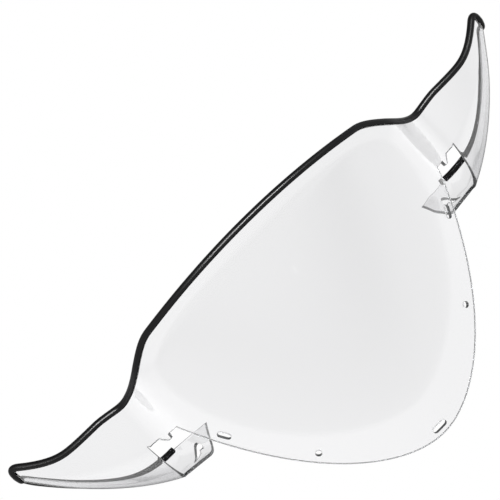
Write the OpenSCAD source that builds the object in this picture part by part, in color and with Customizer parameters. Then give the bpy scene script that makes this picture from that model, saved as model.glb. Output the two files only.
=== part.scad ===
// Clear windshield screen with curled wings and a rubber edge trim.
// Shape formulas use x across the screen, v up the screen and d back from its
// front. The finished part leans back, with its front towards -Y and +Z up.
// The origin is the centre of the lower middle slot, on the front face.

/* [Sheet] */
// Thickness of the acrylic sheet
sheet_t = 4; // [3:0.5:5]
// Lean of the whole screen back from upright, in degrees
lean = 35; // [20:1:45]
// Forward rake of the sheet's face within that lean, as depth per height
rake = 0.282; // [0.24:0.01:0.32]

/* [Top edge] */
// Height of the top edge in the middle
top_mid = 323.5; // [310:0.5:335]
// How far the top edge drops towards the shoulders
crown = 10; // [4:0.5:16]
// Distance from the middle where the shoulder starts to drop
shoulder_in = 173; // [165:1:180]
// Distance from the middle where the shoulder ends and the wing starts
shoulder_out = 244; // [236:1:250]
// Height of the wing's top edge next to the shoulder
wing_top = 272.5; // [268:0.5:280]
// Gentle rise of the wing's top edge past the shoulder
wing_swell = 5; // [0:0.5:8]
// Distance from the middle where the wing's horn starts to rise
horn_start = 331.5; // [325:0.5:338]
// Rise of the horn at the tip
horn_rise = 36; // [28:1:44]

/* [Middle panel] */
// Depth that the panel wraps back at the bulge's half width
wrap = 84.7; // [76:0.5:92]
// Half width of the bulge
bulge_w = 188.5; // [182:0.5:194]
// Height of the bulge's widest line
bulge_v = 247; // [240:1:254]
// Bulge below its widest line
bulge_drop = 206; // [200:1:212]
// Bulge above its widest line
bulge_rise = 60; // [54:1:66]
// Extra backward slope of the flange around the bulge
flange_slope = 0.2; // [0.1:0.02:0.3]
// How far the panel stands forward of the wings
panel_forward = 10.6; // [9:0.2:12]
// Depth of the wing's face, before the rake
wing_d = 110.6; // [104:0.2:116]
// Extra depth of the wing's face at the tip
wing_sweep = 35; // [28:1:42]

/* [Lower edge] */
// Lowest point of the sheet, below the middle slot
low_mid = 10; // [8:0.5:13]
// Half width of the panel at the slit above each mounting tab
panel_w = 216; // [213:0.5:219]
// Height of the slit above each mounting tab
slit_v = 212; // [210:0.5:214]
// Depth of the small tooth under the slit
tooth = 6.5; // [3:0.5:9]

/* [Wings] */
// Distance from the middle to the wing tips
tip_x = 391; // [386:1:396]
// Distance from the middle to the cut edge that faces the slit
root_x = 256.8; // [254:0.4:260]
// How much the cut edge slants inwards on its way down to the fold
root_slant = 4.8; // [2:0.4:7]
// Height of the lower fold at the wing root
fold_v0 = 155.9; // [150:0.5:160]
// Depth of the lower fold at the wing root
fold_d0 = 118.6; // [112:0.2:124]
// Depth of the lower fold at the tip
fold_d1 = 61; // [56:0.5:66]
// Depth of the back edge at the wing root
back_d0 = 162; // [154:0.5:170]
// Depth of the back edge at the tip
back_d1 = 91.5; // [86:0.5:98]
// Height of the back edge at the wing root
back_v0 = 181; // [176:0.5:186]

/* [Mounting tabs] */
// Distance from the middle to the tab's lower corner
tab_low_x = 206; // [202:0.5:211]
// Distance from the middle to the tab's upper point
tab_high_x = 188; // [184:0.5:196]

/* [Holes] */
// Diameter of the round holes and width of the slots
hole_d = 8; // [6:0.5:10]
// Length of the middle slot
mid_slot = 20; // [14:0.5:26]
// Length of the side slots
side_slot = 17; // [12:0.5:20]
// Round hole, distance from the middle
hole_x = 121; // [117:0.5:124]
// Round hole, height above the middle slot
hole_v = 77.4; // [74:0.2:81]
// Side slot, distance from the middle
side_x = 183.5; // [182:0.5:185]
// Side slot, height above the middle slot
side_v = 167.5; // [166:0.5:170]

/* [Trim] */
// Diameter of the round rubber bead
bead_d = 9; // [8:0.5:10]
// Room between the sheet and each lip of the groove
lip_gap = 0.25; // [0.1:0.05:0.4]
// Thickness of the adhesive between the sheet's edge and the groove's floor
glue_t = 0.8; // [0.5:0.1:1.2]
// Distance from the middle where the trim's cut ends are
trim_end_x = 243.5; // [240:0.5:246]

/* [Hidden] */
$fn = 48;

// rows of the mesh: from the top edge to the slit's height, then round the fold
face_rows = 16;
fold_rows = 12;
tab_rows = fold_rows / 2;
wing_cols = 13;
tab_cols = 7;
low_steps = 20;

// fixed proportions of the surface
crown_x = 153;             // where the crown is measured
face_share = 0.49;         // part of the wing's height that is flat
fold_slope = 0.545;        // rise of the fold per distance, at the root
fold_curve = 0.0032;       // extra rise per distance squared
fold_root_x = 253;
back_root_x = 245;
back_gap = -5.6;           // back edge against the fold, out on the wing
back_blend = 13.6;
flange_blend = 5.75;       // softness of the bulge's outline
wrap_x = 227.7;            // where the wrap is measured
wing_from = 201;           // the panel turns into the wing between these two
wing_to = 264.5;
tip_soften = 12;           // opens the fold where the bead turns round the tip
tab_slope = 0.25;          // the tab's lower edge comes forward inwards
tab_back_slope = 0.85;     // and so does its upper edge
tab_back_blend = 4.6;
tab_corner = 7;
probe = 0.02;              // small step used to measure a tangent

// turn of the outline round the tip: length on the edge, and share of the rows
top_turn_x = 11;
top_turn_t = 1.2;
back_turn_x = 9;
back_turn_t = 0.6;

function mix(a, b, s) = a + (b - a) * s;
function unit(a) = a / norm(a);
function ramp(x, a, b) = max(0, min(1, (x - a) / (b - a)));
function soft_step(x, a, b) = let (s = ramp(x, a, b)) s * s * (3 - 2 * s);
function soft_max(a, b, r) = (a + b) / 2 + sqrt(pow((a - b) / 2, 2) + r * r);
function soft_min(a, b, r) = -soft_max(-a, -b, r);
function bend(a, b, c, s) = mix(mix(a, b, s), mix(b, c, s), s);
function bend3(a, b, c, d, s) = mix(bend(a, b, c, s), bend(b, c, d, s), s);

// height of the top edge
function middle_top(x) = top_mid - crown * pow(x / crown_x, 2);
function horn(x) = horn_rise * pow(max(0, x - horn_start) / (tip_x - horn_start), 1.46);
function wing_edge(x) = wing_top + wing_swell * soft_step(x, 236, 282) + horn(x);
function top_v(x) = mix(middle_top(x), wing_edge(x), soft_step(x, shoulder_in, shoulder_out));

// distance outside the bulge's outline, negative inside it
function bulge_out(x, v) =
    let (dv = v - bulge_v)
    let (power = dv < 0 ? 1.65 : 3.3)
    let (half = dv < 0 ? bulge_drop : bulge_rise)
    let (reach = pow(pow(abs(x) / bulge_w, power) + pow(abs(dv) / half, power), 1 / power))
    norm([x, dv]) * (1 - 1 / max(reach, 0.01));

// depth of the sheet's front face on the panel and on the wing's flat part
function panel_d(x, v) =
    let (q = bulge_out(x, v))
    let (flange = flange_slope * (norm([q, flange_blend]) + q) / 2)
    wrap * pow(x / wrap_x, 2) + flange - panel_forward;
function wing_face_d(x) = wing_d + wing_sweep * pow(ramp(x, wing_to, tip_x), 2);
function face_d(x, v) = mix(panel_d(x, v), wing_face_d(x), soft_step(x, wing_from, wing_to)) - rake * v;

// the lower fold and the back edge
function along(x, x0, a, b) = mix(a, b, (x - x0) / (tip_x - x0));
function fold_v(x) =
    let (out = max(0, x - fold_root_x))
    fold_v0 + fold_slope * out + fold_curve * out * out - 0.085 * max(0, fold_root_x - x);
function fold_d(x) =
    x < fold_root_x
        ? fold_d0 - tab_slope * (fold_root_x - x)
        : along(x, fold_root_x, fold_d0, fold_d1) + tip_soften * soft_step(x, tip_x - 45, tip_x);
function back_v(x) = soft_max(back_v0, fold_v(x) + back_gap, back_blend);
function back_d(x) =
    soft_min(along(x, back_root_x, back_d0, back_d1),
             back_d0 + tab_back_slope * (x - back_root_x) + 7, tab_back_blend);

// [v, d] of the wing's section: t 0 to 1 face, 1 to 2 curl, 2 to 3 shelf
function flat_v(x) = mix(top_v(x), fold_v(x), face_share);
function face_at(x, t) = let (v = mix(top_v(x), flat_v(x), t)) [v, face_d(x, v)];
function curl_at(x, s) =
    let (a = face_at(x, 1))
    let (low = fold_v(x))
    bend(a, [low, a[1] + rake * (a[0] - low)], [low, fold_d(x)], s);
function shelf_at(x, s) =
    let (a = [fold_v(x), fold_d(x)])
    let (c = [back_v(x), back_d(x)])
    bend(a, [a[0], mix(a[1], c[1], 0.75)], c, s);
function section_at(x, t) = t < 1 ? face_at(x, t) : t < 2 ? curl_at(x, t - 1) : shelf_at(x, t - 2);

// points of the front face as [x, d, v]
function face_point(x, v) = [x, face_d(x, v), v];
function wing_point(x, t) = let (p = section_at(x, t)) [x, p[1], p[0]];

// unit vectors from the front face into the sheet
function face_in(x, v) =
    unit(cross(face_point(x, v + probe) - face_point(x, v - probe),
               face_point(x + probe, v) - face_point(x - probe, v)));
function wing_in(x, t) =
    let (down = wing_point(x, min(3, t + probe)) - wing_point(x, max(0, t - probe)))
    unit(cross(wing_point(x + probe, t) - wing_point(x - probe, t), down));

// lower outline of the middle panel, from the middle out to the wing's root
low_curve = [for (i = [0:low_steps])
    bend3([0, -low_mid], [58, -low_mid], [146.5, 55], [panel_w, slit_v], i / low_steps)];
slit_curve = [
    [222, slit_v],
    [228.6, slit_v],
    [229.4, slit_v - tooth],
    [233.8, slit_v - tooth],
    [237, slit_v - tooth / 2],
    [241.5, slit_v + 2.5],
    [249, slit_v + 2.8]
];
half_low = concat(low_curve, slit_curve);
low_line = concat(
    [for (i = [len(half_low) - 1:-1:1]) [-half_low[i][0], half_low[i][1]]],
    half_low
);

// a panel vertex is [front point, way in]; x may be on either side
function flip(a, side) = [side * a[0], a[1], a[2]];
function panel_vertex(x, v) =
    let (side = x < 0 ? -1 : 1)
    [flip(face_point(abs(x), v), side), flip(face_in(abs(x), v), side)];
function wing_vertex(side, x, t) = [flip(wing_point(x, t), side), flip(wing_in(x, t), side)];

// [x, t] of a wing column: straight ones, one that shares the tip's turn, and the tip
function root_at(t) = root_x - root_slant * ramp(t, 1, 2);
function turning_at(w, t) = [
    tip_x - mix(top_turn_x, back_turn_x, t / 3) * pow(1 - w, 2),
    top_turn_t * w * w + t * (1 - (top_turn_t + back_turn_t) * w * w / 3)
];
function tip_at(t) =
    let (back_from = 3 - back_turn_t)
    let (w_top = 0.5 + 0.5 * t / top_turn_t)
    let (w_back = 1 - 0.5 * (t - back_from) / back_turn_t)
    t < top_turn_t ? [tip_x - top_turn_x * pow(1 - w_top, 2), top_turn_t * w_top * w_top]
    : t > back_from ? [tip_x - back_turn_x * pow(1 - w_back, 2), 3 - back_turn_t * w_back * w_back]
    : [tip_x, t];
function column_at(k, t) =
    k == wing_cols ? tip_at(t)
    : k == wing_cols - 1 ? turning_at(0.25, t)
    : [mix(root_at(t), turning_at(0, t)[0], k / (wing_cols - 2)), t];
function tab_end_x(z) =
    mix(tab_low_x, tab_high_x, pow(z, 2.2)) + tab_corner * pow(1 - z, 6);

function row_t(r) = r <= face_rows ? r / face_rows : 1 + 2 * (r - face_rows) / fold_rows;
last_row = face_rows + fold_rows;
tab_row = last_row - tab_rows;

// vertices, column by column: left wing, middle, right wing, left tab, right tab
function wing_column(side, k) = [for (r = [0:last_row])
    let (c = column_at(k, row_t(r)))
    wing_vertex(side, c[0], c[1])];
function panel_column(p) = [for (r = [0:face_rows])
    panel_vertex(p[0], mix(top_v(abs(p[0])), p[1], r / face_rows))];
function tab_column(side, f) = [for (z = [0:tab_rows])
    let (s = z / tab_rows)
    wing_vertex(side, mix(trim_end_x, tab_end_x(s), (f - 1) / (tab_cols - 1)), 2 + s)];
vertices = concat(
    [for (k = [wing_cols:-1:0]) each wing_column(-1, k)],
    [for (p = low_line) each panel_column(p)],
    [for (k = [0:wing_cols]) each wing_column(1, k)],
    [for (side = [-1, 1]) for (f = [1:tab_cols]) each tab_column(side, f)]
);
count = len(vertices);

// vertex number at column c and row r, and on a tab at column f and row r
mid_cols = len(low_line);
last_col = 2 * wing_cols + 1 + mid_cols;
left_root = wing_cols;
right_root = left_root + mid_cols + 1;
wing_size = (wing_cols + 1) * (last_row + 1);
mid_size = mid_cols * (face_rows + 1);
function at(c, r) =
    c <= left_root ? c * (last_row + 1) + r
    : c < right_root ? wing_size + (c - left_root - 1) * (face_rows + 1) + r
    : wing_size + mid_size + (c - right_root) * (last_row + 1) + r;
function at_tab(side, f, r) =
    f == 0 ? at(side < 0 ? left_root : right_root, r)
    : 2 * wing_size + mid_size + ((side < 0 ? 0 : tab_cols) + f - 1) * (tab_rows + 1) + r - tab_row;

// the outline of the sheet as one closed loop, clockwise from the front
tab_loop = concat(
    [for (f = [0:tab_cols]) [f, last_row]],
    [for (r = [last_row - 1:-1:tab_row]) [tab_cols, r]],
    [for (f = [tab_cols - 1:-1:1]) [f, tab_row]]
);
function around(side) = [for (p = tab_loop) at_tab(side, p[0], p[1])];
function backwards(a) = [for (i = [len(a) - 1:-1:0]) a[i]];
top_loop = [for (c = [0:last_col]) at(c, 0)];
right_loop = concat(
    [for (r = [1:last_row]) at(last_col, r)],
    [for (c = [last_col - 1:-1:right_root + 1]) at(c, last_row)]
);
left_loop = concat(
    [for (c = [left_root - 1:-1:0]) at(c, last_row)],
    [for (r = [last_row - 1:-1:1]) at(0, r)]
);
outline = concat(
    top_loop,
    right_loop,
    around(1),
    [for (r = [tab_row:-1:face_rows + 1]) at(right_root, r)],
    [for (c = [right_root:-1:left_root]) at(c, face_rows)],
    [for (r = [face_rows + 1:tab_row]) at(left_root, r)],
    backwards(around(-1)),
    left_loop
);

// front faces as triangles, seen clockwise from the front
function cell(a, b, c, d) = [[a, b, c], [a, c, d]];
front = concat(
    [for (c = [0:last_col - 1]) for (r = [0:face_rows - 1])
        each cell(at(c, r), at(c + 1, r), at(c + 1, r + 1), at(c, r + 1))],
    [for (c = [0:last_col - 1]) if (c < left_root || c >= right_root)
        for (r = [face_rows:last_row - 1])
            each cell(at(c, r), at(c + 1, r), at(c + 1, r + 1), at(c, r + 1))],
    [for (side = [-1, 1]) for (f = [0:tab_cols - 1]) for (r = [tab_row:last_row - 1])
        let (left = side < 0 ? f : f + 1)
        let (right = side < 0 ? f + 1 : f)
        each cell(at_tab(side, left, r), at_tab(side, right, r),
                  at_tab(side, right, r + 1), at_tab(side, left, r + 1))]
);

// the whole sheet: front points, then back points one thickness in
sheet_points = concat([for (a = vertices) a[0]], [for (a = vertices) a[0] + sheet_t * a[1]]);
back = [for (t = front) [t[2] + count, t[1] + count, t[0] + count]];
rim = [for (i = [0:len(outline) - 1])
    let (a = outline[i])
    let (b = outline[(i + 1) % len(outline)])
    each cell(b, a, a + count, b + count)];

// the trimmed part of the outline, from the left tab's end to the right tab's
trim_path = concat(
    [at_tab(-1, 1, last_row), at(left_root, last_row)],
    left_loop,
    top_loop,
    right_loop,
    [at(right_root, last_row), at_tab(1, 1, last_row)]
);
edge = [for (i = trim_path) vertices[i][0] + sheet_t / 2 * vertices[i][1]];
last_edge = len(edge) - 1;
function step_from(i) = unit(edge[i + 1] - edge[i]);
function travel(i) = unit(step_from(max(0, i - 1)) + step_from(min(last_edge - 1, i)));

// rings of a section whose points are [outwards, through the sheet]
function ring(i, section) =
    let (go = travel(i))
    let (out = unit(cross(go, vertices[trim_path[i]][1])))
    let (through = cross(out, go))
    [for (s = section) edge[i] + s[0] * out + s[1] * through];
function rings(section) = [for (i = [0:last_edge]) each ring(i, section)];
function skin(n) = [for (i = [0:last_edge - 1]) for (j = [0:n - 1])
    let (k = (j + 1) % n)
    each cell(i * n + j, (i + 1) * n + j, (i + 1) * n + k, i * n + k)];
function ends(n) = [[for (j = [0:n - 1]) j], [for (j = [n - 1:-1:0]) last_edge * n + j]];
module sweep(section) {
    n = len(section);
    polyhedron(rings(section), concat(skin(n), ends(n)), convexity = 8);
}

// the bead's round outside ends at two lips, with the groove between them
bead_r = bead_d / 2;
groove_h = sheet_t / 2 + lip_gap;
lip_t = 0.45;
lip_angle = asin((groove_h + lip_t) / bead_r);
mouth = -bead_r * cos(lip_angle);
bead_steps = 12;
bead_section = concat(
    [for (i = [0:bead_steps])
        let (a = mix(180 - lip_angle, lip_angle - 180, i / bead_steps))
        bead_r * [cos(a), sin(a)]],
    [[mouth, -groove_h], [glue_t, -groove_h], [glue_t, groove_h], [mouth, groove_h]]
);
glue_section = [[0, groove_h], [glue_t, groove_h], [glue_t, -groove_h], [0, -groove_h]];

// the cutters stand on the front face, with z going into the sheet
cut_depth = 3 * sheet_t;
module on_face(point, in, side_to) {
    a = unit(side_to - (side_to * in) * in);
    b = cross(in, a);
    multmatrix([for (i = [0:2]) [a[i], b[i], in[i], point[i]]]) children();
}
module drill() translate([0, 0, -sheet_t]) cylinder(d = hole_d, h = cut_depth);
module slot(length) {
    reach = (length - hole_d) / 2;
    for (s = [-1, 1]) translate([s * reach, 0, 0]) drill();
    translate([-reach, -hole_d / 2, -sheet_t]) cube([2 * reach, hole_d, cut_depth]);
}
// a wedge with its point outwards and a narrow neck inwards
keyhole_x = 222;
keyhole_t = 2.47;
keyhole_line = [
    [12, -7],
    [4, 6],
    [-1, 10.5],
    [-5, 12],
    [-9, 10.5],
    [-11.5, 2],
    [-9.5, -1],
    [-4, 2],
    [-2, -2.5],
    [9, -7]
];
module keyhole() translate([0, 0, -sheet_t]) linear_extrude(cut_depth) polygon(keyhole_line);
side_slot_way = [0.58, 0, 0.82];

module openings() {
    on_face(face_point(hole_x, hole_v), face_in(hole_x, hole_v), [1, 0, 0]) drill();
    on_face(face_point(side_x, side_v), face_in(side_x, side_v), side_slot_way) slot(side_slot);
    on_face(wing_point(keyhole_x, keyhole_t), wing_in(keyhole_x, keyhole_t), [1, 0, 0]) keyhole();
}

// leans the screen back, with the middle slot's centre at the origin
module posed() rotate([-lean, 0, 0]) translate([0, -face_d(0, 0), 0]) children();

module screen() color([0.88, 0.9, 0.92]) posed() difference() {
    polyhedron(sheet_points, concat(front, back, rim), convexity = 8);
    openings();
    mirror([1, 0, 0]) openings();
    on_face(face_point(0, 0), face_in(0, 0), [1, 0, 0]) slot(mid_slot);
}
module edge_trim() color([0.06, 0.06, 0.07]) posed() sweep(bead_section);
module trim_adhesive() color([0.2, 0.2, 0.2]) posed() sweep(glue_section);

screen();
edge_trim();
trim_adhesive();
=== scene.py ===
# %% [markdown]
# # A clear windshield screen with a rubber edge trim
# This lesson builds the looks of a motorcycle windshield screen: one thermoformed
# sheet of clear acrylic, a black rubber bead round its free edges, and the thin
# line of adhesive that holds the bead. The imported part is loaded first, as a fixed
# frame. It says where everything is, so every piece below is built in that frame.

# %% Load the frame
import math

import bmesh
import bpy
import numpy as np
from mathutils import Matrix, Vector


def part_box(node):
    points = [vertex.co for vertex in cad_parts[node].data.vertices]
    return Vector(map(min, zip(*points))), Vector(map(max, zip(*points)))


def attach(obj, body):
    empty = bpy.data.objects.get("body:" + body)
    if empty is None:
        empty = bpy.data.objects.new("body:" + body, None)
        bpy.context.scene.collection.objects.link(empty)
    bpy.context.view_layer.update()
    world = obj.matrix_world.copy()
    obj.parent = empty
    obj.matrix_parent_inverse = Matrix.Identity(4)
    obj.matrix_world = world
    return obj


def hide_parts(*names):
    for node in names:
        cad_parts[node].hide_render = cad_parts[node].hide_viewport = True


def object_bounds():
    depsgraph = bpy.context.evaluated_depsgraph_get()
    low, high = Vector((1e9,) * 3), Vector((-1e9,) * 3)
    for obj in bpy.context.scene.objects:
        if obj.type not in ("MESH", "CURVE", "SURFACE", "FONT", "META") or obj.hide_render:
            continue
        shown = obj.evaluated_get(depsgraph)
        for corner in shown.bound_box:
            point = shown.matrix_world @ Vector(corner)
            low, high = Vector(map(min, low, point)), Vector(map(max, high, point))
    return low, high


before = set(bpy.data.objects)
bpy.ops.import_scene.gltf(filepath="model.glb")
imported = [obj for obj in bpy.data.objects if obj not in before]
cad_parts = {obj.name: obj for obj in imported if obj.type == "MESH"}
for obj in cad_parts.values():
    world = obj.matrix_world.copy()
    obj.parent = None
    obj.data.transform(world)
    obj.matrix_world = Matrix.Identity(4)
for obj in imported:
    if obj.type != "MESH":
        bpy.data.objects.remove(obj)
cad_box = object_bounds()
print("frame nodes:", sorted(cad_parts))

# %% [markdown]
# ## The sheet's own shape
# The real screen is a flat blank, heated and drawn over a former. Its shape is
# smooth everywhere, so a subdivided box would never catch it. Formulas do: a few
# driving lengths say how the bulge wraps back, how the flange leaves it, and how
# each wing curls round into a shelf. Lengths here are millimetres, in the plane of
# the screen: x across, v up, d back. One function turns them into metres at the end.

# %% Driving lengths of the panel in millimetres
MM_PER_M = 1000
SHEET_T = 4.0            # acrylic sheet
LEAN = math.radians(35)  # the whole screen leans back
RAKE = 0.282             # how fast the face comes forward on its way up
TOP_MID, CROWN, CROWN_X = 323.5, 10.0, 153.0
SHOULDER = (164.0, 250.0)  # the top edge drops to the wing between these, eased for the bead
WRAP, WRAP_X = 84.7, 227.7
BULGE_W, BULGE_V, BULGE_DROP, BULGE_RISE = 188.5, 247.0, 206.0, 60.0
BULGE_LOW_POWER, BULGE_HIGH_POWER = 1.65, 3.3  # an ellipse has 2, a box has more
FLANGE_SLOPE, FLANGE_BLEND, PANEL_FORWARD = 0.2, 5.75, 10.6
PANEL_W, LOW_MID = 216.0, 10.0
LOW_PULL_MID, LOW_PULL_SIDE = 58.0, (146.5, 55.0)  # what the lower edge bends towards
SLIT_V, TOOTH = 212.0, 6.5
print("sheet", SHEET_T, "mm thick, panel", 2 * PANEL_W, "mm wide")

# %% Driving lengths of the wings in millimetres
TIP_X, ROOT_X, ROOT_SLANT = 391.0, 256.8, 4.8
WING_FROM, WING_TO = 201.0, 264.5
WING_D, WING_SWEEP = 110.6, 35.0
WING_TOP, WING_SWELL, SWELL_X = 272.5, 5.0, (236.0, 282.0)
HORN_START, HORN_RISE, HORN_POWER = 331.5, 36.0, 1.46
HORN_EASE = 0.17  # rounds the horn's start, so that the bead bends without a kink
FACE_SHARE = 0.49  # share of a wing's height that stays flat
FOLD_V0, FOLD_D0, FOLD_D1 = 155.9, 118.6, 61.0
FOLD_SLOPE, FOLD_CURVE, FOLD_ROOT_X = 0.545, 0.0032, 253.0
FOLD_ROOT_SLOPE = 0.085
BACK_D0, BACK_D1, BACK_V0, BACK_ROOT_X = 162.0, 91.5, 181.0, 245.0
BACK_GAP, BACK_BLEND = -5.6, 13.6
TIP_SOFTEN, TIP_ZONE = 12.0, 45.0
KNEE_SHARE = 0.75  # how far back the shelf starts to rise
TAB_LOW_X, TAB_HIGH_X, TAB_END_POWER = 206.0, 188.0, 2.2
TAB_CORNER, TAB_CORNER_POWER = 7.0, 6
TAB_SLOPE, TAB_BACK_SLOPE, TAB_BACK_STEP, TAB_BACK_BLEND = 0.25, 0.85, 7.0, 4.6
TRIM_END_X = 243.5
print(2 * TIP_X, "mm from tip to tip")


# %% Small shaping functions
def mix(a, b, s):
    return a + (b - a) * s


def ramp(x, a, b):
    return np.clip((x - a) / (b - a), 0, 1)


def soft_step(x, a, b):
    s = ramp(x, a, b)
    return s * s * (3 - 2 * s)


def soft_max(a, b, r):
    return (a + b) / 2 + np.sqrt(((a - b) / 2) ** 2 + r * r)


def soft_min(a, b, r):
    return -soft_max(-a, -b, r)


def bend(a, b, c, s):
    return mix(mix(a, b, s), mix(b, c, s), s)


def unit(a):
    return a / np.linalg.norm(a, axis=-1, keepdims=True)


print("a soft maximum of 0 and 0, blended over 2, is", float(soft_max(0, 0, 2)))


# %% Heights and depths of the face
def top_v(x):
    middle = TOP_MID - CROWN * (x / CROWN_X) ** 2
    along = (x - HORN_START) / (TIP_X - HORN_START)
    horn = HORN_RISE * soft_max(along, 0, HORN_EASE) ** HORN_POWER
    wing = WING_TOP + WING_SWELL * soft_step(x, *SWELL_X) + horn
    return mix(middle, wing, soft_step(x, *SHOULDER))


def bulge_out(x, v):
    """Distance outside the bulge's outline, negative inside it."""
    dv = v - BULGE_V
    power = np.where(dv < 0, BULGE_LOW_POWER, BULGE_HIGH_POWER)
    half = np.where(dv < 0, BULGE_DROP, BULGE_RISE)
    reach = ((np.abs(x) / BULGE_W) ** power + (np.abs(dv) / half) ** power) ** (1 / power)
    return np.hypot(x, dv) * (1 - 1 / np.maximum(reach, 0.01))


def face_d(x, v):
    q = bulge_out(x, v)
    flange = FLANGE_SLOPE * (np.hypot(q, FLANGE_BLEND) + q) / 2
    panel = WRAP * (x / WRAP_X) ** 2 + flange - PANEL_FORWARD
    wing = WING_D + WING_SWEEP * ramp(x, WING_TO, TIP_X) ** 2
    return mix(panel, wing, soft_step(x, WING_FROM, WING_TO)) - RAKE * v


top_back = round(float(face_d(0.0, TOP_MID)), 1)
print("middle of the top edge:", top_v(0.0), "mm up and", top_back, "back")


# %% [markdown]
# ## The wings
# A wing is flat at the top, then curls back and up into a shelf that guards the
# hand. One number t follows it: 0 to 1 down the flat face, 1 to 2 round the curl,
# 2 to 3 back along the shelf. Two quadratic bends make the curl and the shelf, and
# they share a tangent, so the highlights run across the joins without a crease.

# %% The wing's section
def fold_v(x):
    out = np.maximum(0, x - FOLD_ROOT_X)
    inner = FOLD_ROOT_SLOPE * np.maximum(0, FOLD_ROOT_X - x)
    return FOLD_V0 + FOLD_SLOPE * out + FOLD_CURVE * out * out - inner


def fold_d(x):
    outer = mix(FOLD_D0, FOLD_D1, (x - FOLD_ROOT_X) / (TIP_X - FOLD_ROOT_X))
    outer = outer + TIP_SOFTEN * soft_step(x, TIP_X - TIP_ZONE, TIP_X)
    return np.where(x < FOLD_ROOT_X, FOLD_D0 - TAB_SLOPE * (FOLD_ROOT_X - x), outer)


def back_v(x):
    return soft_max(BACK_V0, fold_v(x) + BACK_GAP, BACK_BLEND)


def back_d(x):
    outer = mix(BACK_D0, BACK_D1, (x - BACK_ROOT_X) / (TIP_X - BACK_ROOT_X))
    inner = BACK_D0 + TAB_BACK_SLOPE * (x - BACK_ROOT_X) + TAB_BACK_STEP
    return soft_min(outer, inner, TAB_BACK_BLEND)


def face_point(x, v):
    return np.stack([x, face_d(x, v), v], -1)


def wing_point(x, t):
    flat = mix(top_v(x), fold_v(x), FACE_SHARE)
    face_v = mix(top_v(x), flat, np.clip(t, 0, 1))
    face = face_point(x, face_v)
    low = fold_v(x)
    bottom = np.stack([x, fold_d(x), low], -1)
    last_flat = face_point(x, flat)
    corner = np.stack([x, last_flat[..., 1] + RAKE * (flat - low), low], -1)
    curl = bend(last_flat, corner, bottom, np.clip(t - 1, 0, 1)[..., None])
    edge = np.stack([x, back_d(x), back_v(x)], -1)
    knee = np.stack([x, mix(bottom[..., 1], edge[..., 1], KNEE_SHARE), low], -1)
    shelf = bend(bottom, knee, edge, np.clip(t - 2, 0, 1)[..., None])
    t = t[..., None]
    return np.where(t < 1, face, np.where(t < 2, curl, shelf))


tip_corner = wing_point(np.array([TIP_X]), np.array([0.0]))[0]
print("a wing's tip starts at", [round(float(c), 1) for c in tip_corner], "mm")


# %% Directions from the front face into the sheet
PROBE = 0.02  # small step that measures a tangent


def face_in(x, v):
    up = face_point(x, v + PROBE) - face_point(x, v - PROBE)
    across = face_point(x + PROBE, v) - face_point(x - PROBE, v)
    return unit(np.cross(up, across))


def wing_in(x, t):
    down = wing_point(x, np.minimum(3, t + PROBE)) - wing_point(x, np.maximum(0, t - PROBE))
    across = wing_point(x + PROBE, t) - wing_point(x - PROBE, t)
    return unit(np.cross(across, down))


straight_in = face_in(np.array([0.0]), np.array([0.0]))[0]
print("way in at the middle slot:", [round(float(c), 3) for c in straight_in])


# %% [markdown]
# ## A grid that follows the outline
# The sheet is meshed in columns that run from the top edge down. On the middle
# panel each column ends on the lower edge, a single soft curve; on a wing it runs
# on round the curl to the back edge. The last columns bend round the wing's tip, so
# the tip is a smooth turn and the bead can follow it.

# %% Grid sizes
FACE_ROWS, FOLD_ROWS = 48, 44
TAB_ROWS = FOLD_ROWS // 2
STRAIGHT_COLS = 36
TURN_STEPS = (0.1, 0.2, 0.3, 0.4)
TAB_COLS = 16
LOW_STEPS = 56
LAST_ROW = FACE_ROWS + FOLD_ROWS
TAB_ROW = LAST_ROW - TAB_ROWS
TOP_TURN_X, TOP_TURN_T, BACK_TURN_X, BACK_TURN_T = 11.0, 1.2, 9.0, 0.6
row_t = np.concatenate([np.arange(FACE_ROWS) / FACE_ROWS,
                        1 + 2 * np.arange(FOLD_ROWS + 1) / FOLD_ROWS])
print("rows on a wing:", len(row_t))


# %% Columns of a wing, from its root to its tip
def turning(w, t):
    x = TIP_X - mix(TOP_TURN_X, BACK_TURN_X, t / 3) * (1 - w) ** 2
    share = (TOP_TURN_T + BACK_TURN_T) * w * w / 3
    return x, TOP_TURN_T * w * w + t * (1 - share)


def tip(t):
    w = 0.5 + 0.5 * t / TOP_TURN_T
    wb = 1 - 0.5 * (t - (3 - BACK_TURN_T)) / BACK_TURN_T
    top, low = t < TOP_TURN_T, t > 3 - BACK_TURN_T
    x = np.where(top, TIP_X - TOP_TURN_X * (1 - w) ** 2,
                 np.where(low, TIP_X - BACK_TURN_X * (1 - wb) ** 2, TIP_X))
    return x, np.where(top, TOP_TURN_T * w * w, np.where(low, 3 - BACK_TURN_T * wb * wb, t))


def wing_columns():
    t = row_t
    root = ROOT_X - ROOT_SLANT * ramp(t, 1, 2)
    for k in range(STRAIGHT_COLS + 1):
        yield mix(root, turning(0.0, t)[0], k / STRAIGHT_COLS), t
    for w in TURN_STEPS:
        yield turning(w, t)
    yield tip(t)


right_wing = [(wing_point(x, t), wing_in(x, t)) for x, t in wing_columns()]
WING_COLS = len(right_wing) - 1
print("columns on a wing:", WING_COLS + 1)

# %% The lower edge of the panel, from the middle out to the slit
steps = (np.arange(LOW_STEPS + 1) / LOW_STEPS)[:, None]
low_from, low_a = np.array([0, -LOW_MID]), np.array([LOW_PULL_MID, -LOW_MID])
low_b, low_to = np.array(LOW_PULL_SIDE), np.array([PANEL_W, SLIT_V])
low_curve = mix(bend(low_from, low_a, low_b, steps),
                bend(low_a, low_b, low_to, steps), steps)
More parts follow.
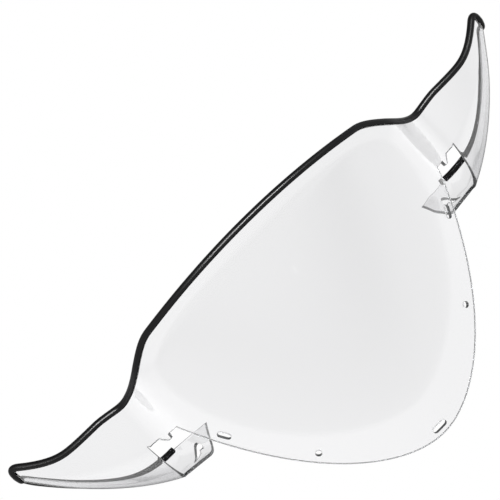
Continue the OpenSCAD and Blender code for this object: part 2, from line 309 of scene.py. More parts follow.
# the slit that frees the tab: past one tooth, and in to the wing's root
slit_corners = np.array([[PANEL_W, SLIT_V], [222, SLIT_V], [228.6, SLIT_V],
                         [229.4, SLIT_V - TOOTH], [233.8, SLIT_V - TOOTH],
                         [237, SLIT_V - TOOTH / 2], [241.5, SLIT_V + 2.5],
                         [249, SLIT_V + 2.8], [ROOT_X, SLIT_V + 2.8]])
slit_curve = [mix(a, b, s) for a, b in zip(slit_corners[:-1], slit_corners[1:])
              for s in (1 / 3, 2 / 3, 1)][:-1]
half_low = np.vstack([low_curve, slit_curve])
low_line = np.vstack([half_low[:0:-1] * [-1, 1], half_low])
MID_COLS = len(low_line)
print("columns on the middle panel:", MID_COLS)


# %% All the points of the front face, and the way into the sheet at each
def mirrored(column):
    return tuple(a * [-1, 1, 1] for a in column)


def panel_column(x, low):
    side, x = (-1 if x < 0 else 1), np.full(FACE_ROWS + 1, abs(x))
    v = mix(top_v(x), low, np.arange(FACE_ROWS + 1) / FACE_ROWS)
    column = face_point(x, v), face_in(x, v)
    return mirrored(column) if side < 0 else column


def tab_column(f):
    z = np.arange(TAB_ROWS + 1) / TAB_ROWS
    end = mix(TAB_LOW_X, TAB_HIGH_X, z ** TAB_END_POWER)
    end = end + TAB_CORNER * (1 - z) ** TAB_CORNER_POWER
    x = mix(TRIM_END_X, end, (f - 1) / (TAB_COLS - 1))
    return wing_point(x, 2 + z), wing_in(x, 2 + z)


right_tab = [tab_column(f) for f in range(1, TAB_COLS + 1)]
columns = [mirrored(c) for c in right_wing[::-1]]
columns += [panel_column(x, v) for x, v in low_line]
columns += right_wing
columns += [mirrored(c) for c in right_tab] + right_tab
front = np.vstack([c[0] for c in columns])
inward = np.vstack([c[1] for c in columns])
print("points on the front face:", len(front))

# %% Numbers of the points, and the outline as one closed loop
LAST_COL = 2 * WING_COLS + 1 + MID_COLS
LEFT_ROOT, RIGHT_ROOT = WING_COLS, WING_COLS + MID_COLS + 1
WING_SIZE, MID_SIZE = (WING_COLS + 1) * (LAST_ROW + 1), MID_COLS * (FACE_ROWS + 1)


def at(c, r):
    if c <= LEFT_ROOT:
        return c * (LAST_ROW + 1) + r
    if c < RIGHT_ROOT:
        return WING_SIZE + (c - LEFT_ROOT - 1) * (FACE_ROWS + 1) + r
    return WING_SIZE + MID_SIZE + (c - RIGHT_ROOT) * (LAST_ROW + 1) + r


def at_tab(side, f, r):
    if f == 0:
        return at(LEFT_ROOT if side < 0 else RIGHT_ROOT, r)
    first = 2 * WING_SIZE + MID_SIZE
    return first + ((0 if side < 0 else TAB_COLS) + f - 1) * (TAB_ROWS + 1) + r - TAB_ROW


tab_loop = ([(f, LAST_ROW) for f in range(TAB_COLS + 1)]
            + [(TAB_COLS, r) for r in range(LAST_ROW - 1, TAB_ROW - 1, -1)]
            + [(f, TAB_ROW) for f in range(TAB_COLS - 1, 0, -1)])
top_loop = [at(c, 0) for c in range(LAST_COL + 1)]
right_loop = ([at(LAST_COL, r) for r in range(1, LAST_ROW + 1)]
              + [at(c, LAST_ROW) for c in range(LAST_COL - 1, RIGHT_ROOT, -1)])
left_loop = ([at(c, LAST_ROW) for c in range(LEFT_ROOT - 1, -1, -1)]
             + [at(0, r) for r in range(LAST_ROW - 1, 0, -1)])
outline = (top_loop + right_loop + [at_tab(1, f, r) for f, r in tab_loop]
           + [at(RIGHT_ROOT, r) for r in range(TAB_ROW, FACE_ROWS, -1)]
           + [at(c, FACE_ROWS) for c in range(RIGHT_ROOT, LEFT_ROOT - 1, -1)]
           + [at(LEFT_ROOT, r) for r in range(FACE_ROWS + 1, TAB_ROW + 1)]
           + [at_tab(-1, f, r) for f, r in tab_loop[::-1]] + left_loop)
print("points round the outline:", len(outline))

# %% [markdown]
# ## From a surface to a polished sheet
# The saw-cut edges of the real sheet are broken and polished, which draws a thin
# grey line along them. A bevel modifier would also catch the holes' triangles, so
# the rounding is built in: the outline's points step inwards a little on both faces,
# and a few rings carry the rim round from front to back.


# %% Put points in place, in metres
CREASE = 35  # degrees: a sharper turn than this stays a crease


def placed(points):
    """Screen-plane millimetres to metres, leaning back, middle slot at the origin."""
    x, d, v = np.moveaxis(np.asarray(points, float), -1, 0)
    d = d - float(face_d(0.0, 0.0))
    y = v * math.sin(LEAN) + d * math.cos(LEAN)
    z = v * math.cos(LEAN) - d * math.sin(LEAN)
    return np.stack([x, y, z], -1) / MM_PER_M


def new_piece(name, points, faces, crease=CREASE):
    mesh = bpy.data.meshes.new(name)
    mesh.from_pydata([tuple(p) for p in points], [], faces)
    bm = bmesh.new()
    bm.from_mesh(mesh)
    bmesh.ops.recalc_face_normals(bm, faces=bm.faces)
    bm.to_mesh(mesh)
    bm.free()
    mesh.shade_smooth()
    mesh.set_sharp_from_angle(angle=math.radians(crease))
    piece = bpy.data.objects.new(name, mesh)
    bpy.context.scene.collection.objects.link(piece)
    print(name, "has", len(mesh.vertices), "points and", len(mesh.polygons), "faces")
    return piece


# %% Faces of the front
def cells(cols, rows, number):
    return [(number(c, r), number(c + 1, r), number(c + 1, r + 1), number(c, r + 1))
            for c in cols for r in rows]


faces = cells(range(LAST_COL), range(FACE_ROWS), at)
faces += cells([c for c in range(LAST_COL) if c < LEFT_ROOT or c >= RIGHT_ROOT],
               range(FACE_ROWS, LAST_ROW), at)
for side in (-1, 1):
    faces += cells(range(TAB_COLS), range(TAB_ROW, LAST_ROW),
                   lambda f, r: at_tab(side, f, r))
print("faces on the front:", len(faces))

# %% Rings that round the rim, from the front face to the back
ROUND_R = 0.45  # rounding of the polished edge
RIM_STEPS = 4   # points in each rounded corner
middle = front + SHEET_T / 2 * inward
loop = np.array(outline)
go = unit(np.roll(middle[loop], -1, 0) - np.roll(middle[loop], 1, 0))
outwards = unit(np.cross(go, inward[loop]))
turn = np.linspace(0, math.pi / 2, RIM_STEPS)
depth = ROUND_R * (1 - np.cos(turn))
inset = ROUND_R * (1 - np.sin(turn))
rim_depth = np.concatenate([depth, SHEET_T - depth[::-1]])
rim_inset = np.concatenate([inset, inset[::-1]])
rim_rings = [front[loop] + d * inward[loop] - i * outwards
             for d, i in zip(rim_depth, rim_inset)]
print("rings round the rim:", len(rim_rings))

# %% Front, back and rim as one closed sheet
count, around = len(front), len(loop)
face_points, back_points = front.copy(), front + SHEET_T * inward
face_points[loop], back_points[loop] = rim_rings[0], rim_rings[-1]
sheet_points = np.vstack([face_points, back_points] + rim_rings[1:-1])
rim_ids = [2 * count + k * around + np.arange(around) for k in range(len(rim_rings) - 2)]
rim_ids = [loop] + rim_ids + [loop + count]
sheet_faces = faces + [tuple(i + count for i in f[::-1]) for f in faces]
first_rim_face = len(sheet_faces)
for a, b in zip(rim_ids[:-1], rim_ids[1:]):
    for i in range(around):
        j = (i + 1) % around
        sheet_faces.append((int(a[i]), int(a[j]), int(b[j]), int(b[i])))
sheet = new_piece("clear_screen", placed(sheet_points), sheet_faces)
for stand_in in ("face_to_come", "edge_to_come"):
    sheet.data.materials.append(bpy.data.materials.new(stand_in))
for polygon in sheet.data.polygons[first_rim_face:]:
    polygon.material_index = 1

# %% [markdown]
# ## Holes, slots and keyholes
# The lower edge has two round holes and three slots, and each folded tab has a
# wedge-shaped keyhole. They are cut after forming, square to the sheet. A boolean
# does the same job here: prisms stand on the face and are taken away in one go.

# %% Outlines of the cuts
HOLE_D, MID_SLOT, SIDE_SLOT = 8.0, 20.0, 17.0
ARC_STEPS, CORNER_STEPS = 20, 5
KEYHOLE_ROUND, SIDE_SHARE = 1.6, 0.45  # no corner takes more than this share of a side


def stadium(length):
    """A round hole, or a slot when the length is more than the hole's diameter."""
    reach, r = (length - HOLE_D) / 2, HOLE_D / 2
    angles = np.linspace(-math.pi / 2, math.pi / 2, ARC_STEPS)
    right = np.stack([reach + r * np.cos(angles), r * np.sin(angles)], -1)
    return np.vstack([right, -right]) if reach > 0 else np.vstack([right[:-1], -right[:-1]])


def eased(corners, r):
    """Rounds every corner of a polygon with a short curve."""
    corners, out = np.array(corners, float), []
    for before, p, after in zip(np.roll(corners, 1, 0), corners, np.roll(corners, -1, 0)):
        a = p + (before - p) * min(SIDE_SHARE, r / np.linalg.norm(before - p))
        b = p + (after - p) * min(SIDE_SHARE, r / np.linalg.norm(after - p))
        out += [bend(a, p, b, s) for s in np.linspace(0, 1, CORNER_STEPS)]
    return np.array(out)


keyhole = eased([(12, -7), (4, 6), (-1, 10.5), (-5, 12), (-9, 10.5), (-11.5, 2),
                 (-9.5, -1), (-4, 2), (-2, -2.5), (9, -7)], KEYHOLE_ROUND)
print("points round a keyhole:", len(keyhole))


# %% Prisms that cut them
def prism(point, into, side_to, line):
    a = unit(side_to - np.dot(side_to, into) * into)
    b = np.cross(into, a)
    ring = [point + p[0] * a + p[1] * b for p in line]
    near = [p - SHEET_T * into for p in ring]
    far = [p + 2 * SHEET_T * into for p in ring]
    return np.array(near + far)


def one(function, x, other):
    return function(np.array([float(x)]), np.array([float(other)]))[0]


HOLE, SIDE = (121.0, 77.4), (183.5, 167.5)  # x and v of their middles
KEYHOLE = (222.0, 2.47)                     # x and t of its middle
ACROSS, BESIDE_EDGE = np.array([1.0, 0, 0]), np.array([0.58, 0, 0.82])
sites = [(face_point, face_in, HOLE, ACROSS, stadium(HOLE_D)),
         (face_point, face_in, SIDE, BESIDE_EDGE, stadium(SIDE_SLOT)),
         (wing_point, wing_in, KEYHOLE, ACROSS, keyhole)]
right_cuts = [prism(one(where, *spot), one(into, *spot), run, line)
              for where, into, spot, run, line in sites]
cuts = [cut * flip for flip in ([1, 1, 1], [-1, 1, 1]) for cut in right_cuts]
cuts.append(prism(one(face_point, 0, 0), one(face_in, 0, 0), ACROSS, stadium(MID_SLOT)))
print("openings to cut:", len(cuts))

# %% One cutter from all the prisms
cut_points, cut_faces = [], []
for cut in cuts:
    first, n = len(cut_points), len(cut) // 2
    cut_points += list(cut)
    cut_faces += [tuple(first + i for i in range(n)), tuple(first + n + i for i in range(n))]
    cut_faces += [(first + i, first + (i + 1) % n, first + n + (i + 1) % n, first + n + i)
                  for i in range(n)]
cutter = new_piece("cutter", placed(cut_points), cut_faces)
cutter.data.materials.append(sheet.data.materials[1])

# %% Cut, keep the result, and drop the cutter
boolean = sheet.modifiers.new("openings", "BOOLEAN")
boolean.operation = "DIFFERENCE"
boolean.solver = "EXACT"
boolean.material_mode = "TRANSFER"
boolean.object = cutter
depsgraph = bpy.context.evaluated_depsgraph_get()
cut_mesh = bpy.data.meshes.new_from_object(sheet.evaluated_get(depsgraph))
sheet.modifiers.clear()
sheet.data = cut_mesh
bpy.data.objects.remove(cutter)
cut_mesh.shade_smooth()
cut_mesh.set_sharp_from_angle(angle=math.radians(CREASE))
print("cut sheet has", len(cut_mesh.polygons), "faces")

# %% [markdown]
# ## The rubber bead
# The trim is one extruded length of rubber: a round bead with a groove that grips
# the sheet's edge. A curve with a bevel would twist at the wing tips, so the section
# is swept along the edge here instead. At each point of the edge it turns with the sheet: one
# axis points out of the edge and the other goes through the sheet.

# %% The path, and the frame at each point of it
trim_path = ([at_tab(-1, 1, LAST_ROW), at(LEFT_ROOT, LAST_ROW)] + left_loop + top_loop
             + right_loop + [at(RIGHT_ROOT, LAST_ROW), at_tab(1, 1, LAST_ROW)])
path = middle[trim_path]
ahead = unit(np.diff(path, axis=0))
travel = unit(np.vstack([ahead[:1], ahead]) + np.vstack([ahead, ahead[-1:]]))
out = unit(np.cross(travel, inward[trim_path]))
through = np.cross(out, travel)
trim_length = float(np.linalg.norm(np.diff(path, axis=0), axis=1).sum())
print("the bead is", round(trim_length), "mm long")

# %% The section: round outside, soft lips, square groove
BEAD_R, BEAD_CREASE = 4.5, 40
LIP_GAP, LIP_T = 0.12, 0.5
GROOVE_DEPTH = 0.8
ARC = 28
groove = SHEET_T / 2 + LIP_GAP
lip_angle = math.asin((groove + LIP_T) / BEAD_R)
arc = [(BEAD_R * math.cos(a), BEAD_R * math.sin(a))
       for a in np.linspace(math.pi - lip_angle, lip_angle - math.pi, ARC)]
mouth = -BEAD_R * math.cos(lip_angle)
LIP_ROUND = [(-0.17, 0.86), (-0.25, 0.5), (-0.17, 0.14)]  # the lip's end, in lip heights
lip = [(mouth + a * LIP_T, groove + b * LIP_T) for a, b in LIP_ROUND]
section = np.array(arc + [(a, -b) for a, b in lip]
                   + [(mouth, -groove), (GROOVE_DEPTH, -groove), (GROOVE_DEPTH, groove),
                      (mouth, groove)] + lip[::-1])
print("section has", len(section), "points")


# %% Sweep it and keep two lengths on the surface for its finish
def sweep(name, section):
    rings = (path[:, None] + section[:, 0, None] * out[:, None]
             + section[:, 1, None] * through[:, None])
    n, last = len(section), len(path) - 1
    faces = [(i * n + j, (i + 1) * n + j, (i + 1) * n + (j + 1) % n, i * n + (j + 1) % n)
             for i in range(last) for j in range(n)]
    faces += [tuple(range(n)), tuple(last * n + j for j in range(n))]
    piece = new_piece(name, placed(rings.reshape(-1, 3)), faces, crease=BEAD_CREASE)
    run = np.concatenate([[0], np.cumsum(np.linalg.norm(np.diff(path, axis=0), axis=1))])
    side = np.concatenate([[0], np.cumsum(np.linalg.norm(np.diff(section, axis=0), axis=1))])
    coords = np.stack([np.repeat(run, n), np.tile(side, last + 1),
                       np.zeros(n * (last + 1))], -1)
    lay = piece.data.attributes.new("along_and_around", "FLOAT_VECTOR", "POINT")
    lay.data.foreach_set("vector", (coords / MM_PER_M).ravel().astype(np.float32))
    return piece


bead = sweep("rubber_edge_trim", section)

# %% [markdown]
# ## Materials
# Colours are written as the sRGB hex values that a colour picker gives, and turned
# to linear once. Values that are the same all over stay on the shader's own
# sockets. Only what varies over the surface gets nodes.


# %% Two helpers for every material
def linear(hex_colour):
    """sRGB hex to the linear RGBA that shader sockets take."""
    channels = [int(hex_colour[i:i + 2], 16) / 255 for i in (1, 3, 5)]
    return tuple(c / 12.92 if c <= 0.04045 else ((c + 0.055) / 1.055) ** 2.4
                 for c in channels) + (1.0,)


def add(tree, kind, settings=None, values=None, links=None):
    """Adds a node, sets its properties and inputs, and links other sockets into it."""
    node = tree.nodes.new(kind)
    for key, value in (settings or {}).items():
        setattr(node, key, value)
    for key, value in (values or {}).items():
        node.inputs[key].default_value = value
    for key, socket in (links or {}).items():
        tree.links.new(socket, node.inputs[key])
    return node


COLOUR_A, COLOUR_B, COLOUR_OUT = 6, 7, 2  # the colour sockets of a Mix node


def new_material(name):
    material = bpy.data.materials.new(name)
    material.use_nodes = True
    material.node_tree.nodes.clear()
    return material, material.node_tree


print("a mid grey of #808080 is", round(linear("#808080")[0], 3), "in linear light")


# %% [markdown]
# ### Clear acrylic
# Cast acrylic (PMMA), heated and drawn, with polished edges. Its index is 1.49, so
# it bends light hardly less than window glass. The faces are as smooth as the
# casting plates, apart from a long, very shallow wave that forming leaves, about
# a hand's width from crest to crest. The grey of the clear sheet comes from inside:
# absorption acts on the light's whole way through, which makes folded and edge-on
# parts darker. The drawn bulge carries a painted shade: its colour is a little greyer
# than the flange's, standing in for the darker backdrop seen through it. The change
# follows the bend between them, so each point of the sheet keeps its distance outside
# the bulge's outline, and the painted shade reads that.

# %% Keep the distance from the bulge's outline on the sheet
spot = np.zeros(3 * len(cut_mesh.vertices), np.float32)
cut_mesh.vertices.foreach_get("co", spot)
spot = spot.reshape(-1, 3) * MM_PER_M
plane_v = spot[:, 1] * math.sin(LEAN) + spot[:, 2] * math.cos(LEAN)
outside = bulge_out(spot[:, 0], plane_v)
mark = cut_mesh.attributes.new("outside_bulge_mm", "FLOAT", "POINT")
mark.data.foreach_set("value", outside.astype(np.float32))
print("deepest point of the bulge is", round(float(-outside.min())), "mm from its outline")

# %% Clear acrylic
ACRYLIC_IOR = 1.49
INSIDE_COLOUR, INSIDE_DENSITY = linear("#e8e8e9"), 240.0
FORMING_WAVE_MM = 140.0
BEND_MM = 5.0  # half width of the bend where the bulge's painted shade changes
acrylic, tree = new_material("clear_cast_acrylic")
place = add(tree, "ShaderNodeTexCoord")
wave = add(tree, "ShaderNodeTexNoise",
           values={"Scale": MM_PER_M / FORMING_WAVE_MM, "Detail": 0.0},
           links={"Vector": place.outputs["Object"]})
wave_bump = add(tree, "ShaderNodeBump", values={"Strength": 0.25, "Distance": 0.0006},
                links={"Height": wave.outputs["Fac"]})
distance = add(tree, "ShaderNodeAttribute", settings={"attribute_name": "outside_bulge_mm"})
flange = add(tree, "ShaderNodeMapRange", settings={"interpolation_type": "SMOOTHSTEP"},
             values={"From Min": -BEND_MM, "From Max": BEND_MM},
             links={"Value": distance.outputs["Fac"]})
# painted shade: the bulge's base colour is greyed to stand in for the darker, shadowed backdrop
# seen through it; the flange stays white
painted_bulge_shade = add(tree, "ShaderNodeMix", settings={"data_type": "RGBA"},
           values={COLOUR_A: linear("#f9f9f9"), COLOUR_B: linear("#ffffff")},
           links={"Factor": flange.outputs["Result"]})
surface = add(tree, "ShaderNodeBsdfPrincipled",
              values={"Roughness": 0.0, "IOR": ACRYLIC_IOR, "Transmission Weight": 1.0},
              links={"Base Color": painted_bulge_shade.outputs[COLOUR_OUT],
                     "Normal": wave_bump.outputs["Normal"]})
inside = add(tree, "ShaderNodeVolumeAbsorption",
             values={"Color": INSIDE_COLOUR, "Density": INSIDE_DENSITY})
add(tree, "ShaderNodeOutputMaterial", links={"Surface": surface.outputs["BSDF"],
                                             "Volume": inside.outputs["Volume"]})
print("acrylic absorbs", round(INSIDE_DENSITY * (1 - INSIDE_COLOUR[0]), 1), "per metre")

# %% [markdown]
# ### Cut edge of the acrylic
# The blank is sawn, its corners are broken and its edges flame-polished. Little of
# the light that meets an edge comes out towards the eye, because most of it is led
# away inside the sheet, so an edge reads as a thin dark line. A grey tint on the
# edge's own faces gives that line, with the fine waviness that the saw left.

# %% Cut edge
SAW_MARK_MM = 1.5
cut_edge, tree = new_material("flame_polished_acrylic_edge")
place = add(tree, "ShaderNodeTexCoord")
saw = add(tree, "ShaderNodeTexNoise", values={"Scale": MM_PER_M / SAW_MARK_MM, "Detail": 1.0},
          links={"Vector": place.outputs["Object"]})
saw_bump = add(tree, "ShaderNodeBump", values={"Strength": 0.3, "Distance": 0.00006},
               links={"Height": saw.outputs["Fac"]})
grey = add(tree, "ShaderNodeMix", settings={"data_type": "RGBA"},
           values={COLOUR_A: linear("#4a4c4e"), COLOUR_B: linear("#5c5e60")},
           links={"Factor": saw.outputs["Fac"]})
surface = add(tree, "ShaderNodeBsdfPrincipled",
              values={"Roughness": 0.12, "IOR": ACRYLIC_IOR, "Transmission Weight": 0.55},
              links={"Base Color": grey.outputs[COLOUR_OUT],
                     "Normal": saw_bump.outputs["Normal"]})
inside = add(tree, "ShaderNodeVolumeAbsorption",
             values={"Color": INSIDE_COLOUR, "Density": INSIDE_DENSITY})
add(tree, "ShaderNodeOutputMaterial", links={"Surface": surface.outputs["BSDF"],
                                             "Volume": inside.outputs["Volume"]})
print(cut_edge.name, "has", len(tree.nodes), "nodes")

# %% [markdown]
# ### Extruded rubber
# The trim is EPDM rubber, pushed through a die and cured. That leaves fine lines
# along its length and a satin skin that is a little uneven, where talc and handling
# dull it. The lines are about a third of a millimetre apart, drawn here at 0.6 mm
# so that they show. Their pattern follows the two lengths kept on the bead.

# %% Extruded rubber
DIE_LINE_MM, LINE_RUN_MM = 0.6, 125.0  # apart round the bead, and long along it
HANDLING_MM = 25.0
rubber, tree = new_material("extruded_epdm_rubber")
lay = add(tree, "ShaderNodeAttribute", settings={"attribute_name": "along_and_around"})
stretch = add(tree, "ShaderNodeVectorMath", settings={"operation": "MULTIPLY"},
              values={1: (MM_PER_M / LINE_RUN_MM, MM_PER_M / DIE_LINE_MM, 1.0)},
              links={0: lay.outputs["Vector"]})
lines = add(tree, "ShaderNodeTexNoise", values={"Scale": 1.0, "Detail": 2.0},
            links={"Vector": stretch.outputs["Vector"]})
place = add(tree, "ShaderNodeTexCoord")
marks = add(tree, "ShaderNodeTexNoise", values={"Scale": MM_PER_M / HANDLING_MM, "Detail": 4.0},
            links={"Vector": place.outputs["Object"]})
dull = add(tree, "ShaderNodeMapRange", values={"From Min": 0.3, "From Max": 0.7,
                                               "To Min": 0.26, "To Max": 0.36},
           links={"Value": marks.outputs["Fac"]})
shade = add(tree, "ShaderNodeMix", settings={"data_type": "RGBA"},
            values={COLOUR_A: linear("#070708"), COLOUR_B: linear("#0d0d0e")},
            links={"Factor": marks.outputs["Fac"]})
line_bump = add(tree, "ShaderNodeBump", values={"Strength": 0.25, "Distance": 0.00005},
                links={"Height": lines.outputs["Fac"]})
surface = add(tree, "ShaderNodeBsdfPrincipled",
              values={"IOR": 1.5, "Specular IOR Level": 0.06},
              links={"Base Color": shade.outputs[COLOUR_OUT],
                     "Roughness": dull.outputs["Result"],
                     "Normal": line_bump.outputs["Normal"]})
add(tree, "ShaderNodeOutputMaterial", links={"Surface": surface.outputs["BSDF"]})
print(rubber.name, "has", len(tree.nodes), "nodes")

# %% [markdown]
# ### Cured adhesive
# A thin line of black elastic adhesive fills the groove's floor. Only a hair of it
# shows, through the sheet's edge, so a soft, slightly lumpy black is enough.

# %% Cured adhesive
LUMP_MM = 3.0
adhesive, tree = new_material("cured_elastic_adhesive")
place = add(tree, "ShaderNodeTexCoord")
lumps = add(tree, "ShaderNodeTexNoise", values={"Scale": MM_PER_M / LUMP_MM},
            links={"Vector": place.outputs["Object"]})
tone = add(tree, "ShaderNodeMix", settings={"data_type": "RGBA"},
           values={COLOUR_A: linear("#1a1a1b"), COLOUR_B: linear("#262627")},
           links={"Factor": lumps.outputs["Fac"]})
lump_bump = add(tree, "ShaderNodeBump", values={"Strength": 0.3, "Distance": 0.0001},
                links={"Height": lumps.outputs["Fac"]})
surface = add(tree, "ShaderNodeBsdfPrincipled", values={"Roughness": 0.55, "IOR": 1.48},
              links={"Base Color": tone.outputs[COLOUR_OUT],
                     "Normal": lump_bump.outputs["Normal"]})
add(tree, "ShaderNodeOutputMaterial", links={"Surface": surface.outputs["BSDF"]})
print(adhesive.name, "has", len(tree.nodes), "nodes")

# %% Dress the pieces and tie them to the frame
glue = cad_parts["trim_adhesive"]
bead.data.materials.append(rubber)
glue.data.materials.clear()
glue.data.materials.append(adhesive)
sheet.data.materials[0], sheet.data.materials[1] = acrylic, cut_edge
print("faces on cut edges:", sum(p.material_index == 1 for p in sheet.data.polygons))
for piece, node in ((sheet, "screen"), (bead, "edge_trim")):
    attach(piece, "root")
    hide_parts(node)
    low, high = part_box(node)
    print(node, "spans", [round(h - l, 3) for l, h in zip(low, high)], "m")

# %% [markdown]
# ## Studio
# A clear part is lit by what it reflects and by what stands behind it. The floor and
# the wall are one seamless white sweep, bright enough to print as white. Reflections
# see the room instead, as a smooth field of light that comes from the world: stronger
# from the left and from just below, weaker to the right, behind and straight down,
# with a soft dark band at the horizon, as between two large softboxes. What shows
# through the clear sheet is plain white.

# %% White floor and wall in one seamless sweep
FLOOR_R, COVE_R, WALL_H, FLOOR_GAP = 9.0, 1.0, 6.0, 0.02  # metres
SWEEP_STEPS, ROUND = 12, 96
floor_z = cad_box[0][2] - FLOOR_GAP
profile = [(FLOOR_R, 0.0)]
profile += [(FLOOR_R + COVE_R * math.sin(a), COVE_R * (1 - math.cos(a)))
            for a in np.linspace(0, math.pi / 2, SWEEP_STEPS)[1:]]
profile += [(FLOOR_R + COVE_R, WALL_H)]
points = [(r * math.cos(a), r * math.sin(a), floor_z + h) for r, h in profile
          for a in np.arange(ROUND) * math.tau / ROUND]
faces = [tuple(range(ROUND))]
faces += [(i * ROUND + j, i * ROUND + (j + 1) % ROUND, (i + 1) * ROUND + (j + 1) % ROUND,
           (i + 1) * ROUND + j) for i in range(len(profile) - 1) for j in range(ROUND)]
backdrop = new_piece("studio_sweep", points, faces)
white, tree = new_material("white_studio_paper")
glow = add(tree, "ShaderNodeEmission", values={"Color": linear("#ffffff"), "Strength": 1.0})
add(tree, "ShaderNodeOutputMaterial", links={"Surface": glow.outputs["Emission"]})
backdrop.data.materials.append(white)
backdrop.visible_glossy = False
backdrop.visible_diffuse = False

# %% Which way a ray leaves, as two angles in degrees
world = bpy.data.worlds.new("soft_studio")
bpy.context.scene.world = world
world.use_nodes = True
tree = world.node_tree
tree.nodes.clear()
TIMES, LARGER = {"operation": "MULTIPLY"}, {"operation": "MAXIMUM"}
DEGREES = math.degrees(1)
ray = add(tree, "ShaderNodeTexCoord")
axes = add(tree, "ShaderNodeSeparateXYZ", links={"Vector": ray.outputs["Generated"]})
ahead_y = add(tree, "ShaderNodeMath", TIMES, {1: -1.0}, {0: axes.outputs["Y"]})
around_z = add(tree, "ShaderNodeMath", {"operation": "ARCTAN2"},
               links={0: axes.outputs["X"], 1: ahead_y.outputs["Value"]})
azimuth = add(tree, "ShaderNodeMath", TIMES, {1: DEGREES}, {0: around_z.outputs["Value"]})
over_floor = add(tree, "ShaderNodeMath", {"operation": "ARCSINE"},
                 links={0: axes.outputs["Z"]})
height = add(tree, "ShaderNodeMath", TIMES, {1: DEGREES}, {0: over_floor.outputs["Value"]})
turned = add(tree, "ShaderNodeMath", {"operation": "ABSOLUTE"},
             links={0: azimuth.outputs["Value"]})
print("one radian is", round(DEGREES, 1), "degrees")

# %% How the light fades over each angle
LIMITS = ("From Min", "From Max", "To Min", "To Max")
FADES = {  # the angle, where the change starts and ends, and the light there
    "room": (azimuth, -60, 50, 2.6, 2.0),
    "below": (height, -14, -6, 0.6, 0.0),
    "band_low": (height, -7, -2, 0.0, 1.0),
    "band_high": (height, -2, 4, 1.0, 0.0),
    "band_left": (azimuth, -20, 30, 0.5, 1.0),
    "band_right": (azimuth, 45, 65, 1.0, 0.0),
    "straight_down": (height, -60, -30, 0.3, 1.0),
    "behind": (turned, 105, 135, 1.0, 0.3),
}
light = {}
for part, (angle, *limits) in FADES.items():
    fading = add(tree, "ShaderNodeMapRange", {"interpolation_type": "SMOOTHSTEP"},
                 dict(zip(LIMITS, limits)), {"Value": angle.outputs["Value"]})
    light[part] = fading.outputs["Result"]
print("parts of the room's light:", ", ".join(light))

# %% Put the parts together
LEAST_LIGHT = 0.3
band = add(tree, "ShaderNodeMath", TIMES,
           links={0: light["band_low"], 1: light["band_high"]})
band_from = add(tree, "ShaderNodeMath", TIMES,
                links={0: band.outputs["Value"], 1: light["band_left"]})
dark = add(tree, "ShaderNodeMath", TIMES,
           links={0: band_from.outputs["Value"], 1: light["band_right"]})
bright = add(tree, "ShaderNodeMath", {"operation": "ADD"},
             links={0: light["room"], 1: light["below"]})
rest = add(tree, "ShaderNodeMath", {"operation": "SUBTRACT"},
           links={0: bright.outputs["Value"], 1: dark.outputs["Value"]})
lit = add(tree, "ShaderNodeMath", LARGER, {1: LEAST_LIGHT}, {0: rest.outputs["Value"]})
near_front = add(tree, "ShaderNodeMath", TIMES,
                 links={0: light["straight_down"], 1: light["behind"]})
field = add(tree, "ShaderNodeMath", TIMES,
            links={0: lit.outputs["Value"], 1: near_front.outputs["Value"]})
print("the world has", len(tree.nodes), "nodes so far")

# %% What each kind of ray sees
MATT_LIGHT, WHITE_LIGHT = 0.9, 1.0  # on matt surfaces, and straight through the air
path_of = add(tree, "ShaderNodeLightPath")
through_air = add(tree, "ShaderNodeMath", LARGER,
                  links={0: path_of.outputs["Is Camera Ray"],
                         1: path_of.outputs["Is Transmission Ray"]})
on_matt = add(tree, "ShaderNodeMix", values={"B": MATT_LIGHT},
              links={"Factor": path_of.outputs["Is Diffuse Ray"],
                     "A": field.outputs["Value"]})
strength = add(tree, "ShaderNodeMix", values={"B": WHITE_LIGHT},
               links={"Factor": through_air.outputs["Value"],
                      "A": on_matt.outputs["Result"]})
sky = add(tree, "ShaderNodeBackground", values={"Color": linear("#ffffff")},
          links={"Strength": strength.outputs["Result"]})
add(tree, "ShaderNodeOutputWorld", links={"Surface": sky.outputs["Background"]})
print("the finished world has", len(tree.nodes), "nodes")

# %% [markdown]
# A narrow softbox high above the camera draws the thin bright line along the bead.
# It lights nothing else: matt surfaces and the clear sheet's inside don't see it.

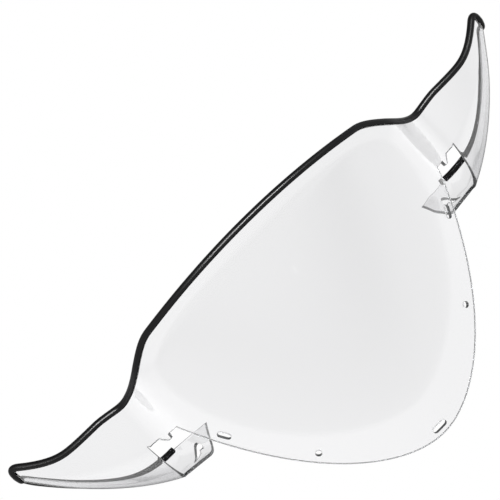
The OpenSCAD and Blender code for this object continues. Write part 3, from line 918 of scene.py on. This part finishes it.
# %% Softbox for the bead's highlight
BOX_W, BOX_H, BOX_AWAY = 3.2, 0.2, 3.0
BOX_AZ, BOX_EL = math.radians(8), math.radians(50)
BOX_RADIANCE = 800.0
BOX_AIM = np.array([0.0, 0.12, 0.2])  # about the middle of the screen
softbox = bpy.data.lights.new("softbox", "AREA")
softbox.shape, softbox.size, softbox.size_y = "RECTANGLE", BOX_W, BOX_H
softbox.energy = BOX_RADIANCE * math.pi * BOX_W * BOX_H
lamp = bpy.data.objects.new("softbox", softbox)
bpy.context.scene.collection.objects.link(lamp)
toward = np.array([math.sin(BOX_AZ) * math.cos(BOX_EL),
                   -math.cos(BOX_AZ) * math.cos(BOX_EL), math.sin(BOX_EL)])
lamp_side = unit(np.cross([0.0, 0.0, 1.0], toward))
lamp_axes = np.stack([lamp_side, np.cross(toward, lamp_side), toward], 1)
lamp_pose = Matrix([[*row] for row in lamp_axes]).to_4x4()
lamp_pose.translation = BOX_AWAY * toward + BOX_AIM
lamp.matrix_world = lamp_pose
lamp.visible_diffuse = False
lamp.visible_transmission = False
print("softbox", BOX_AWAY, "m away,", softbox.energy, "W")

# %% [markdown]
# ## Camera
# A long lens from about a metre and a half, straight on to the leaning screen, with
# the camera rolled so that the screen lies across the frame's diagonal.

# %% Camera
bpy.context.scene.view_settings.view_transform = "Standard"
FOCAL, SENSOR = 97.9, 36.0
CAMERA_MM = (-154.0, -1556.0, 297.6)   # x, d, v in the screen's plane
SIDE_TURN = math.radians(5.175)
ROLL = math.radians(45 - 0.42)
side = np.array([math.cos(SIDE_TURN), -math.sin(SIDE_TURN), 0.0])
rise = np.array([0.0, 0.0, 1.0])
right = math.cos(ROLL) * side - math.sin(ROLL) * rise
up = math.sin(ROLL) * side + math.cos(ROLL) * rise
origin = placed([(0.0, 0.0, 0.0)])[0]
right, up = (placed([a])[0] - origin for a in (right, up))
right, up = unit(right), unit(up)
back = np.cross(right, up)
lens = bpy.data.cameras.new("camera")
lens.lens, lens.sensor_width = FOCAL, SENSOR
camera = bpy.data.objects.new("camera", lens)
bpy.context.scene.collection.objects.link(camera)
pose = Matrix([[*row] for row in np.stack([right, up, back], 1)]).to_4x4()
pose.translation = placed([CAMERA_MM])[0]
camera.matrix_world = pose
bpy.context.scene.camera = camera
print("camera at", [round(c, 3) for c in pose.translation])
